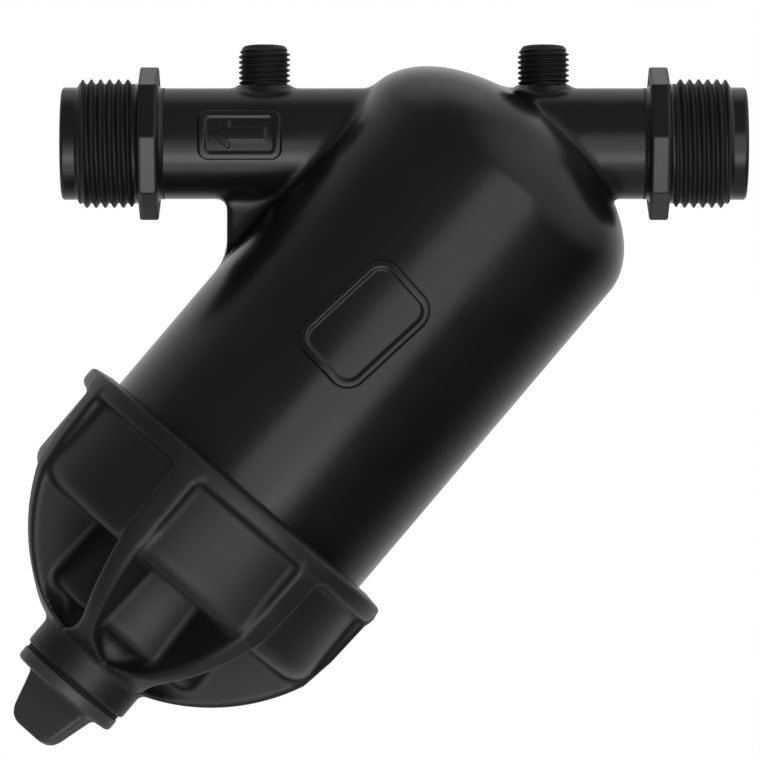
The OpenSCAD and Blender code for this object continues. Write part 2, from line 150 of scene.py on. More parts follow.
class FilterLooks(bpy.types.PropertyGroup):
    """Colours and finishes."""

    black: colour("Black plastic", (0.0055, 0.0055, 0.0057, 1.0), "Colour of the body")
    black_rough: share("Black roughness", 0.25, "Roughness of the black plastic")
    bowl: colour("Bowl plastic", (0.0085, 0.0085, 0.0087, 1.0), "Colour of the bowl")
    bowl_rough: share("Bowl roughness", 0.42, "Roughness of bowl and plug")
    plug: colour("Plug plastic", (0.034, 0.034, 0.035, 1.0), "Colour of the drain plug")
    thread_rough: share("Thread roughness", 0.5, "Roughness of the threads")
    inner: colour("Element plastic", (0.03, 0.03, 0.032, 1.0), "Colour of the element's frame")
    disc: colour("Discs", (0.50, 0.030, 0.022, 1.0), "Colour of the filter discs")
    rubber: colour("Rubber", (0.006, 0.006, 0.006, 1.0), "Colour of the rings")
    floor: colour("Floor", (0.9, 0.9, 0.9, 1.0), "Colour of the floor")
    softbox: bpy.props.FloatProperty(
        name="Softbox", description="Strength of the front softbox", default=2.52, min=0.0
    )


def settings():
    """The three setting groups of the open scene."""
    scene = bpy.context.scene
    return scene.filter_body, scene.filter_bowl, scene.filter_looks


def mm(value):
    """Metres to millimetres."""
    return float(value) * 1000


# Distance fields, in millimetres

def smin(a, b, k):
    """The lower of two fields, with a fillet of size k between them."""
    h = np.maximum(k - np.abs(a - b), 0) / k
    return np.minimum(a, b) - h * h * k / 4


def smax(a, b, k):
    """The higher of two fields, with a rounded edge of size k."""
    return -smin(-a, -b, k)


def axis_frame(p):
    """Depth along the barrel axis, offset to the upper left and offset in Y of points p."""
    q = p - CROSS
    return q @ DOWN, q @ SIDE, p[..., 1]


class Turned:
    """Distance to a closed outline of (radius, depth) points turned round an axis, kept as a table."""

    STEP = 0.1
    MARGIN = 9.0
    PAST_AXIS = -40.0

    def __init__(self, outline):
        pts = np.array(outline, float)
        self.lo = np.array([0.0, pts[:, 1].min() - self.MARGIN])
        hi = pts.max(0) + self.MARGIN
        n = np.ceil((hi - self.lo) / self.STEP).astype(int) + 1
        r = self.lo[0] + self.STEP * np.arange(n[0])[:, None]
        a = self.lo[1] + self.STEP * np.arange(n[1])[None, :]
        # the outline is carried past the axis, so that the axis itself is no edge
        pts[pts[:, 0] <= 0.0, 0] = self.PAST_AXIS
        best = np.full((n[0], n[1]), 1e9)
        within = np.zeros((n[0], n[1]), bool)
        for (r0, a0), (r1, a1) in zip(pts, np.roll(pts, -1, 0)):
            dr, da = r1 - r0, a1 - a0
            t = np.clip(((r - r0) * dr + (a - a0) * da) / max(dr * dr + da * da, 1e-12), 0, 1)
            best = np.minimum(best, np.hypot(r - r0 - t * dr, a - a0 - t * da))
            if da:
                within ^= ((a0 > a) != (a1 > a)) & (r < dr * (a - a0) / da + r0)
        self.table = np.where(within, -best, best).astype(np.float32)

    def __call__(self, r, a):
        u = np.clip((r - self.lo[0]) / self.STEP, 0, self.table.shape[0] - 1.001)
        v = np.clip((a - self.lo[1]) / self.STEP, 0, self.table.shape[1] - 1.001)
        i, j = u.astype(int), v.astype(int)
        u, v = u - i, v - j
        t = self.table
        near = t[i, j] * (1 - u) + t[i + 1, j] * u
        far = t[i, j + 1] * (1 - u) + t[i + 1, j + 1] * u
        return near * (1 - v) + far * v


def ellipse_outline(r, h, at, n):
    """Points of a quarter ellipse from the wall to the axis."""
    t = np.linspace(0, math.pi / 2, n)
    return [(r * math.cos(x), at - h * math.sin(x)) for x in t[:-1]] + [(0.0, at - h)]


def arc(cx, cy, r, start, stop, n):
    """Points of an arc in an outline, angles in degrees."""
    return [
        (cx + r * math.cos(math.radians(t)), cy + r * math.sin(math.radians(t)))
        for t in np.linspace(start, stop, n)
    ]


def corner_values(field, low, cell, count):
    """The field at every corner of a grid, worked out slab by slab."""
    ys = low[1] + cell * np.arange(count[1])
    zs = low[2] + cell * np.arange(count[2])
    values = np.empty(count, np.float32)
    yz = np.stack(np.meshgrid(ys, zs, indexing="ij"), -1)
    for i in range(count[0]):
        p = np.concatenate([np.full(yz.shape[:2] + (1,), low[0] + cell * i), yz], -1)
        values[i] = field(p)
    return values


def settle(points, field, cell, rounds=5):
    """Moves mesh points onto the field's zero surface along its slope."""
    h = 0.04
    for _ in range(rounds):
        rises = [field(points + h * way) - field(points - h * way) for way in np.eye(3)]
        slope = np.stack(rises, -1) / (2 * h)
        f = field(points)
        step = f[:, None] * slope / np.maximum((slope * slope).sum(-1, keepdims=True), 0.05)
        size = np.linalg.norm(step, axis=-1, keepdims=True)
        points = points - step * np.minimum(1, cell * 0.5 / np.maximum(size, 1e-9))
    return points


def net_surface(field, low, high, cell):
    """Vertices and quads of the field's zero surface, by surface nets settled onto the field."""
    low, high = np.array(low, float), np.array(high, float)
    count = tuple(np.ceil((high - low) / cell).astype(int) + 1)
    values = corner_values(field, low, cell, count)
    solid = values < 0
    corners = [(i, j, k) for i in (0, 1) for j in (0, 1) for k in (0, 1)]
    full = np.zeros(tuple(n - 1 for n in count), np.int8)
    for i, j, k in corners:
        full += solid[i : count[0] - 1 + i, j : count[1] - 1 + j, k : count[2] - 1 + k]
    at = np.argwhere((full > 0) & (full < 8))
    number = np.full(full.shape, -1, np.int32)
    number[tuple(at.T)] = np.arange(len(at))
    total, hits = np.zeros((len(at), 3)), np.zeros(len(at))
    for a in corners:
        for axis in range(3):
            if a[axis]:
                continue
            b = tuple(v + (n == axis) for n, v in enumerate(a))
            fa = values[tuple((at + a).T)].astype(float)
            fb = values[tuple((at + b).T)].astype(float)
            cut = (fa < 0) != (fb < 0)
            t = np.where(cut, fa / np.where(cut, fa - fb, 1), 0)
            total[cut] += (np.array(a) + np.eye(3)[axis] * t[:, None])[cut]
            hits += cut
    points = low + (at + total / hits[:, None]) * cell
    quads = []
    for axis in range(3):
        one, two = [n for n in range(3) if n != axis]
        here = [slice(None)] * 3
        there = [slice(None)] * 3
        here[axis], there[axis] = slice(0, -1), slice(1, None)
        flips = solid[tuple(here)].astype(np.int8) - solid[tuple(there)].astype(np.int8)
        edge = np.argwhere(flips)
        edge = edge[(edge[:, one] > 0) & (edge[:, two] > 0)]
        edge = edge[(edge[:, one] < full.shape[one]) & (edge[:, two] < full.shape[two])]
        sign = flips[tuple(edge.T)] > 0
        ring = []
        for d1, d2 in ((1, 1), (0, 1), (0, 0), (1, 0)):
            c = edge.copy()
            c[:, one] -= d1
            c[:, two] -= d2
            ring.append(number[tuple(c.T)])
        ring = np.stack(ring, -1)
        if axis == 1:
            sign = ~sign
        quads.append(np.where(sign[:, None], ring, ring[:, ::-1]))
    return settle(points, field, cell), np.concatenate(quads)


# Meshes

def mesh_object(name, points, faces, body, material, replaces):
    """A smooth-shaded piece from millimetre points, riding a body of the frame."""
    mesh = bpy.data.meshes.new(name)
    mesh.from_pydata((np.asarray(points, float) * MM).tolist(), [], np.asarray(faces).tolist())
    mesh.validate()
    mesh.polygons.foreach_set("use_smooth", np.ones(len(mesh.polygons), bool))
    mesh.materials.append(material)
    return piece(name, mesh, body, replaces)


def body_piece(name, points, faces, material):
    """A piece of the moulded body."""
    return mesh_object(name, points, faces, "housing", material, ["filter_body"])


def piece(name, mesh, body, replaces, place=None):
    """Links a mesh as a named piece of the object."""
    obj = bpy.data.objects.new(name, mesh)
    bpy.context.scene.collection.objects.link(obj)
    if place is not None:
        obj.location = place
    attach(obj, body)
    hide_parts(*replaces)
    return obj


def ring_mesh(outline, count, radius):
    """Points and quads of a closed outline of (depth, radius, extra) rows swept round Z by count steps.

    radius(depth, r, extra, angle) gives each point's true radius."""
    rows = np.array(outline, float)
    angle = np.arange(count) * 2 * math.pi / count
    r = radius(rows[:, :1], rows[:, 1:2], rows[:, 2:3], angle[None, :])
    depth = np.broadcast_to(rows[:, :1], r.shape)
    points = np.stack([r * np.cos(angle), r * np.sin(angle), depth], -1).reshape(-1, 3)
    i, j = np.meshgrid(np.arange(len(rows)), np.arange(count), indexing="ij")
    k, m = (i + 1) % len(rows), (j + 1) % count
    quads = np.stack([i * count + j, i * count + m, k * count + m, k * count + j], -1).reshape(-1, 4)
    return points, quads


def thread_wave(depth, angle, pitch):
    """The thread's profile from 0 at the root to 1 at the crest, right-handed about +Z."""
    phase = (depth / pitch - angle / (2 * math.pi)) % 1.0
    flank = np.abs(2 * phase - 1)
    return (0.5 - 0.5 * np.cos(math.pi * flank)) ** 1.15


def thread_rows(start, stop, root, crest, pitch, run_in=0.7, run_out=1.0, per_pitch=16):
    """Outline rows of a thread from start to stop whose crest fades in and out over whole pitches."""
    n = int(abs(stop - start) / pitch * per_pitch) + 1
    rows = []
    for d in np.linspace(start, stop, n):
        near = min(1.0, abs(d - start) / (run_in * pitch), abs(stop - d) / (run_out * pitch))
        rows.append((d, root, (crest - root) * (0.25 + 0.75 * near) if near < 1 else crest - root))
    return rows


def threaded(outline, count, pitch):
    """A swept outline whose third column is the height of a thread on it."""
    return ring_mesh(outline, count, lambda d, r, e, a: r + e * thread_wave(d, a, pitch))


def joined(*parts):
    """Several closed shells as one mesh."""
    points, faces, n = [], [], 0
    for p, f in parts:
        points.append(p)
        faces.append(f + n)
        n += len(p)
    return np.concatenate(points), np.concatenate(faces)


def turned_about(points, x_axis, y_axis, z_axis, origin):
    """Points given in a local frame, moved into the shared frame."""
    return points @ np.array([x_axis, y_axis, z_axis], float) + np.array(origin, float)


def on_axis(points):
    """Local points, with Z down the barrel axis from the crossing, in the shared frame."""
    return turned_about(points, SIDE, np.cross(DOWN, SIDE), DOWN, CROSS)


# Materials

def socket(group, name, kind, inward, default=None):
    """Adds a socket to a node group's interface."""
    s = group.interface.new_socket(name=name, in_out="INPUT" if inward else "OUTPUT", socket_type=kind)
    if default is not None:
        s.default_value = default


def link(tree, a, b):
    """Joins two sockets."""
    tree.links.new(a, b)


def feed(tree, slot, value):
    """Joins a socket to an input, or sets a plain value there."""
    if isinstance(value, bpy.types.NodeSocket):
        link(tree, value, slot)
    else:
        slot.default_value = value


def ranged(tree, value, low, high, to_low=0.0, to_high=1.0):
    """A value mapped from the range low to high onto another range, and held at its ends."""
    node = tree.nodes.new("ShaderNodeMapRange")
    feed(tree, node.inputs["Value"], value)
    for name, number in zip(("From Min", "From Max", "To Min", "To Max"), (low, high, to_low, to_high)):
        node.inputs[name].default_value = number
    return node.outputs["Result"]


def worked(tree, operation, *values):
    """One math node on sockets and plain numbers."""
    node = tree.nodes.new("ShaderNodeMath")
    node.operation = operation
    for slot, value in zip(node.inputs, values):
        feed(tree, slot, value)
    return node.outputs[0]


def mixed(tree, factor, a, b, blend="MIX"):
    """Two colours mixed."""
    node = tree.nodes.new("ShaderNodeMix")
    node.data_type = "RGBA"
    node.blend_type = blend
    for name, value in (("Factor", factor), ("A", a), ("B", b)):
        feed(tree, node.inputs[name], value)
    return node.outputs["Result"]


def noise(tree, scale, detail=2.0, place=None):
    """A noise pattern, over the given coordinates where there are any."""
    node = tree.nodes.new("ShaderNodeTexNoise")
    node.inputs["Scale"].default_value = scale
    node.inputs["Detail"].default_value = detail
    if place is not None:
        link(tree, place, node.inputs["Vector"])
    return node.outputs["Fac"]


def moulded_group():
    """Shared detail of moulded plastic: mottling, worn edges, dull valleys, flow marks and grain."""
    name = "moulded_detail"
    if name in bpy.data.node_groups:
        return bpy.data.node_groups[name]
    g = bpy.data.node_groups.new(name, "ShaderNodeTree")
    socket(g, "Color", "NodeSocketColor", True, (0.02, 0.02, 0.02, 1))
    socket(g, "Roughness", "NodeSocketFloat", True, 0.4)
    socket(g, "Wear", "NodeSocketFloat", True, 0.5)
    socket(g, "Color", "NodeSocketColor", False)
    socket(g, "Roughness", "NodeSocketFloat", False)
    socket(g, "Height", "NodeSocketFloat", False)
    inp, out = g.nodes.new("NodeGroupInput"), g.nodes.new("NodeGroupOutput")
    place = g.nodes.new("ShaderNodeTexCoord").outputs["Object"]
    edges = g.nodes.new("ShaderNodeNewGeometry").outputs["Pointiness"]
    grain, cloud, flow = noise(g, 2600.0, 2.0, place), noise(g, 45.0, 4.0, place), noise(g, 160.0, 3.0, place)
    # sharp edges are worn pale, in patches
    worn = worked(g, "MULTIPLY", ranged(g, edges, 0.53, 0.62), inp.outputs["Wear"])
    broken = worked(g, "MULTIPLY", worn, flow)
    shade = mixed(g, 1.0, inp.outputs["Color"], ranged(g, cloud, 0.0, 1.0, 0.82, 1.18), "MULTIPLY")
    link(g, mixed(g, broken, shade, (0.05, 0.05, 0.053, 1)), out.inputs["Color"])
    # valleys are duller, and the rest is mottled
    mottled = worked(g, "ADD", inp.outputs["Roughness"], ranged(g, cloud, 0.3, 0.7, -0.035, 0.045))
    valley = ranged(g, edges, 0.49, 0.42, 0.0, 0.4)
    link(g, worked(g, "ADD", mottled, valley), out.inputs["Roughness"])
    link(g, worked(g, "MULTIPLY_ADD", grain, 0.35, flow), out.inputs["Height"])
    return g


def plastic(name, tint, roughness, wear=0.5, grain=0.00004, gloss=0.36):
    """A moulded plastic built on the shared detail group."""
    if name in bpy.data.materials:
        return bpy.data.materials[name]
    m = bpy.data.materials.new(name)
    m.use_nodes = True
    tree = m.node_tree
    shader = tree.nodes["Principled BSDF"]
    detail = tree.nodes.new("ShaderNodeGroup")
    detail.node_tree = moulded_group()
    detail.inputs["Color"].default_value = tuple(tint)
    detail.inputs["Roughness"].default_value = roughness
    detail.inputs["Wear"].default_value = wear
    bump = tree.nodes.new("ShaderNodeBump")
    bump.inputs["Strength"].default_value = 0.35
    bump.inputs["Distance"].default_value = grain
    link(tree, detail.outputs["Height"], bump.inputs["Height"])
    link(tree, detail.outputs["Color"], shader.inputs["Base Color"])
    link(tree, detail.outputs["Roughness"], shader.inputs["Roughness"])
    link(tree, bump.outputs["Normal"], shader.inputs["Normal"])
    shader.inputs["IOR"].default_value = 1.5
    shader.inputs["Specular IOR Level"].default_value = gloss
    m.diffuse_color = tuple(tint)
    return m


def black_plastic():
    """The satin black of the body."""
    looks = settings()[2]
    return plastic("satin_black", looks.black, looks.black_rough)


def thread_plastic():
    """The duller black that the cut of a thread leaves."""
    looks = settings()[2]
    return plastic("dull_black", looks.black, looks.thread_rough, wear=0.2)


def bowl_plastic():
    """The greyer, duller black of the bowl."""
    looks = settings()[2]
    return plastic("bowl_black", looks.bowl, looks.bowl_rough, gloss=0.3)


def plug_plastic():
    """The faded dark grey of the drain plug."""
    looks = settings()[2]
    return plastic("plug_grey", looks.plug, looks.bowl_rough)


def rubber():
    """Matt rubber of the rings."""
    return plastic("matt_rubber", settings()[2].rubber, 0.62, wear=0.1, gloss=0.1)


class BodyOperator(bpy.types.Operator):
    """Builds the moulded pipe, barrel, web and the water ways inside"""

    bl_idname = "filter.body"
    bl_label = "Moulded body"

    def field(self):
        """The body's distance field."""
        s = settings()[0]
        pipe_r, bore_r, wall = mm(s.pipe_d) / 2, mm(s.bore_d) / 2, mm(s.wall)
        barrel_r, mouth, rim = mm(s.barrel_d) / 2, mm(s.mouth_at), mm(s.rim_at)
        dome_at, dome_h = mm(s.dome_at), mm(s.dome_h)
        blend, web_x, web_t = mm(s.blend), mm(s.web_x), mm(s.web_t)
        root_r = barrel_r - MOUTH_THREAD
        outside = Turned(
            [(0.0, mouth), (root_r - 0.6, mouth), (root_r, mouth - 0.6), (root_r, rim + 1.6)]
            + [(barrel_r, rim + 0.4)] + ellipse_outline(barrel_r, dome_h, dome_at, 60)
        )
        cavity_r = barrel_r - wall
        inside = Turned(
            [(0.0, mouth + 6), (cavity_r, mouth + 6)] + ellipse_outline(cavity_r, dome_h - wall, dome_at, 60)
        )
        past = bore_r * math.tan(math.acos(-DOWN[0]) / 2)
        nozzle_r, tube_r, tube_end, elbow_wall = 10.5, 13.7, 37, 3.2
        spigot, inlet_x, web_drop, web_sink = 24.5, 60, 6, 2
        run = MID_X + mm(s.end_len) - spigot
        point_x, foot_r, foot_top, foot_base = mm(s.point_x), 6.4, 14.7, 4

        def field(p):
            w, u, y = axis_frame(p)
            x, z = p[..., 0], p[..., 2]
            r, q = np.hypot(u, y), np.hypot(y, z)
            f = smin(outside(r, w), smax(q - pipe_r, np.abs(x - MID_X) - run, 0.4), blend)
            # the web fills the corner between pipe and barrel
            web = smax(np.abs(y) - web_t / 2, MID_X - web_x - x, 1.2)
            f = smin(f, smax(web, np.maximum(z + web_drop, barrel_r - web_sink - u), 1.0), 3.2)
            for side in (-1, 1):
                foot = np.hypot(x - MID_X - side * point_x, y) - foot_r
                f = smin(f, np.maximum(foot, np.maximum(z - foot_top, foot_base - z)), 2.4)
            # the elbow and its nozzle stand in the cavity, and the water ways are cut last
            elbow = smin(
                np.maximum(q - bore_r - elbow_wall, CROSS[0] - past - elbow_wall - x),
                np.maximum(r - tube_r, np.maximum(w - tube_end, -past - elbow_wall - w)), 2.5,
            )
            f = smax(f, -smax(inside(r, w), -elbow, 1.5), 1.0)
            inlet = np.maximum(q - bore_r, CROSS[0] - past - x)
            ways = np.minimum(inlet, np.maximum(r - nozzle_r, -past - w))
            ways = np.maximum(ways, np.minimum(w - tube_end - 1, inlet_x - x))
            ways = np.minimum(ways, np.maximum(q - bore_r, x - CROSS[0] + cavity_r))
            return smax(f, -ways, 0.8)

        return field

    def execute(self, context):
        s = settings()[0]
        low, high = (-4.5, -42.5, -131), (148, 42.5, 23.5)
        points, quads = net_surface(self.field(), low, high, mm(s.cell))
        body_piece("moulded_body", points, quads, black_plastic())
        return {"FINISHED"}


class SpigotOperator(bpy.types.Operator):
    """Builds the threaded pipe ends with their eight-sided collars"""

    bl_idname = "filter.spigots"
    bl_label = "Threaded ends"

    def execute(self, context):
        s = settings()[0]
        bore, pipe = mm(s.bore_d) / 2, mm(s.pipe_d) / 2
        end, pitch = mm(s.end_len), mm(s.thread_pitch)
        pilot, collar_r, thread_h, rounding = 14.3, 16.9, 1.479, 0.25
        root = mm(s.thread_d) / 2 - thread_h
        # moulded crests are rounded a little below the full diameter
        crest = mm(s.thread_d) / 2 - rounding
        rows = [(0.9, bore + 0.5, 0), (0.15, bore + 1.2, 0), (0, bore + 1.6, 0)]
        rows += [(0, pilot - 0.8, 0), (0.15, pilot - 0.4, 0), (0.5, pilot - 0.08, 0)]
        rows += [(depth, pilot, 0) for depth in (0.8, 1.1, 3.6, 3.9)]
        first = len(rows)
        rows += thread_rows(4.5, 18.4, root, crest, pitch, run_in=0.35, run_out=0.35)
        last = len(rows)
        rows += [(18.7, root, 0), (19.3, root + 0.1, 0), (19.8, root + 0.9, 0)]
        rows += [(20.5, collar_r, 0), (24.0, collar_r, 0), (24.5, 15.2, 0)]
        rows += [(24.8, pipe + 0.4, 0), (25.2, pipe + 0.1, 0), (26.2, pipe + 0.03, 0), (26.2, bore, 0)]
        count = 160
        for name, side in (("outlet_end", -1), ("inlet_end", 1)):
            tube = threaded(rows, count, pitch)
            collar = self.collar(mm(s.collar_af) / 2, 19.8, 24.7)
            points, quads = joined((tube[0], tube[1][:, ::-1]), (collar[0], collar[1][:, ::-1]))
            x = MID_X + side * (MID_X + end)
            points = turned_about(points, (0, -side, 0), (0, 0, 1), (-side, 0, 0), (x, 0, 0))
            obj = body_piece(name, points, quads, black_plastic())
            obj.data.materials.append(thread_plastic())
            index = np.zeros(len(quads), np.int32)
            index[first * count : last * count] = 1
            obj.data.polygons.foreach_set("material_index", index)
        return {"FINISHED"}

    def collar(self, flat, start, stop):
        """The collar's ring, with softened corners and edges."""
        b, c, inner, corner_r = 0.55, 0.16, 15.0, 20.4
        rows = [(start, inner, 0), (start, 0, flat - b), (start + c, 0, flat - c)]
        rows += [(depth, 0, flat) for depth in (start + b, start + 2 * b, stop - 2 * b, stop - b)]
        rows += [(stop - c, 0, flat - c), (stop, 0, flat - b), (stop, inner, 0)]

        def radius(d, r, e, a):
            fold = np.abs((a - math.pi / 8) % (math.pi / 4) - math.pi / 8)
            sharp = e / np.cos(math.pi / 8 - fold)
            return np.where(e > 0, smin(sharp, corner_r, 0.6), r)

        return ring_mesh(rows, 384, radius)


class PointOperator(bpy.types.Operator):
    """Builds the threaded pressure points on top of the pipe"""

    bl_idname = "filter.points"
    bl_label = "Pressure points"

    def execute(self, context):
        s = settings()[0]
        top, crest, pitch = mm(s.point_h), mm(s.point_d) / 2, mm(s.point_pitch)
        thread_h, base, stem, hole, hole_end, middle = 0.856, 13.0, 5.6, 3.0, top - 11, 0.05
        root = crest - thread_h
        rows = [(base, middle, 0), (base, stem, 0), (base + 1.5, stem + 0.1, 0)]
        rows += thread_rows(base + 1.7, top - 1.0, root, crest, pitch, run_in=0.6, run_out=0.8)
        rows += [(top - 0.9, root + 0.1, 0), (top - 0.35, root - 0.25, 0), (top - 0.08, root - 0.6, 0)]
        rows += [(top, root - 1.0, 0), (top, hole + 0.5, 0), (top - 0.12, hole + 0.15, 0)]
        rows += [(top - 0.5, hole, 0), (hole_end, hole, 0), (hole_end, middle, 0)]
        for name, side in (("outlet_point", -1), ("inlet_point", 1)):
            points, quads = threaded(rows, 96, pitch)
            points = points + np.array([MID_X + side * mm(s.point_x), 0, 0])
            body_piece(name, points, quads, thread_plastic())
        return {"FINISHED"}


def rounded_box(u, v, a, b, r):
    """Distance to a rounded rectangle of half sizes a and b."""
    x, y = np.abs(u) - a + r, np.abs(v) - b + r
    return np.hypot(np.maximum(x, 0), np.maximum(y, 0)) + np.minimum(np.maximum(x, y), 0) - r


def ramp(d, width):
    """A soft step from 1 inside to 0 outside a distance field."""
    t = np.clip(0.5 - d / width, 0, 1)
    return t * t * (3 - 2 * t)


def bent_patch(radius, half_u, half_v, height, step):
    """A closed patch round a cylinder along Z, facing -Y; height(u, v) is above the cylinder."""
    u = np.linspace(-half_u, half_u, int(2 * half_u / step) + 1)
    v = np.linspace(-half_v, half_v, int(2 * half_v / step) + 1)
    uu, vv = np.meshgrid(u, v, indexing="ij")
    n, m = uu.shape
    layers = []
    for r in (radius + height(uu, vv), np.full(uu.shape, radius - 1.2)):
        a = uu / radius
        layers.append(np.stack([r * np.sin(a), -r * np.cos(a), vv], -1).reshape(-1, 3))
    i, j = np.meshgrid(np.arange(n - 1), np.arange(m - 1), indexing="ij")
    top = np.stack([i * m + j, (i + 1) * m + j, (i + 1) * m + j + 1, i * m + j + 1], -1).reshape(-1, 4)
    loop = [(k, 0) for k in range(n - 1)] + [(n - 1, k) for k in range(m - 1)]
    loop += [(k, m - 1) for k in range(n - 1, 0, -1)] + [(0, k) for k in range(m - 1, 0, -1)]
    loop = np.array([a * m + b for a, b in loop])
    nxt = np.roll(loop, -1)
    sides = np.stack([nxt, loop, loop + n * m, nxt + n * m], -1)
    return np.concatenate(layers), np.concatenate([top, top[:, ::-1] + n * m, sides])


class PlateOperator(bpy.types.Operator):
    """Builds the bare label plate on the barrel and the arrow plate on the pipe"""

    bl_idname = "filter.plates"
    bl_label = "Plates"

    def execute(self, context):
        s = settings()[0]
        above_rim, from_middle = 51.4, 41.5
        self.label(mm(s.barrel_d) / 2, mm(s.rim_at) - above_rim)
        self.arrow(mm(s.pipe_d) / 2, MID_X - from_middle)
        return {"FINISHED"}

    def label(self, radius, depth):
        """The framed plate, turned against the barrel."""
        turn = math.radians(7)

        def height(u, v):
            a = v * math.cos(turn) + u * math.sin(turn)
            b = u * math.cos(turn) - v * math.sin(turn)
            outer = rounded_box(a, b, 15.5, 10.1, 5.4)
            inner = rounded_box(a, b, 13.6, 8.2, 3.5)
            return -0.5 + 1.8 * ramp(outer - 0.1, 1.1) - 0.8 * ramp(inner, 0.8)

        points, quads = bent_patch(radius, 14.0, 18.4, height, 0.3)
        off = math.radians(1.1)
        c, n = math.cos(off), math.sin(off)
        x, y, z = points.T
        points = on_axis(np.stack([x * c - y * n, x * n + y * c, z + depth], -1))
        body_piece("label_plate", points, quads, black_plastic())

    def arrow(self, radius, place):
        """The framed flow arrow, pointing at the outlet."""
        def height(u, v):
            outer = rounded_box(v, u, 10.5, 6.25, 2.6)
            inner = rounded_box(v, u, 8.7, 4.4, 1.3)
            shaft = np.maximum(np.abs(u) - 1.7, np.maximum(v - 6.6, -v - 3.4))
            head = np.maximum(np.abs(u) * 0.8 + (-v - 7.4) * 0.6, v + 2.6)
            sign = np.minimum(shaft, head)
            return -0.5 + 1.6 * ramp(outer - 0.1, 0.8) - 0.6 * ramp(inner, 0.6) + 0.45 * ramp(sign, 0.5)

        points, quads = bent_patch(radius, 7.6, 11.6, height, 0.24)
        lift = math.asin(1.1 / radius)
        c, n = math.cos(lift), math.sin(lift)
        x, y, z = points[:, 2], points[:, 1], -points[:, 0]
        points = np.stack([x + place, y * c + z * n, z * c - y * n], -1)
        body_piece("arrow_plate", points, quads, black_plastic())


class MouthThreadOperator(bpy.types.Operator):
    """Builds the coarse thread on the barrel's mouth"""

    bl_idname = "filter.mouth_thread"
    bl_label = "Mouth thread"

    def execute(self, context):
        s = settings()[0]
        rim, mouth, pitch = mm(s.rim_at), mm(s.mouth_at), mm(s.mouth_pitch)
        crest = mm(s.barrel_d) / 2
        # the root stands just proud of the barrel, and the ends are sunk into it
        root, sunk = crest - MOUTH_THREAD + 0.05, 0.8
        rows = [(rim + 2.2, root - sunk, 0)]
        rows += thread_rows(rim + 2.4, mouth - 1.0, root, crest, pitch, run_in=0.5, run_out=0.4)
        rows += [(mouth - 0.8, root - sunk, 0)]
        points, quads = threaded(rows, 240, pitch)
        body_piece("mouth_thread", on_axis(points), quads, black_plastic())
        return {"FINISHED"}


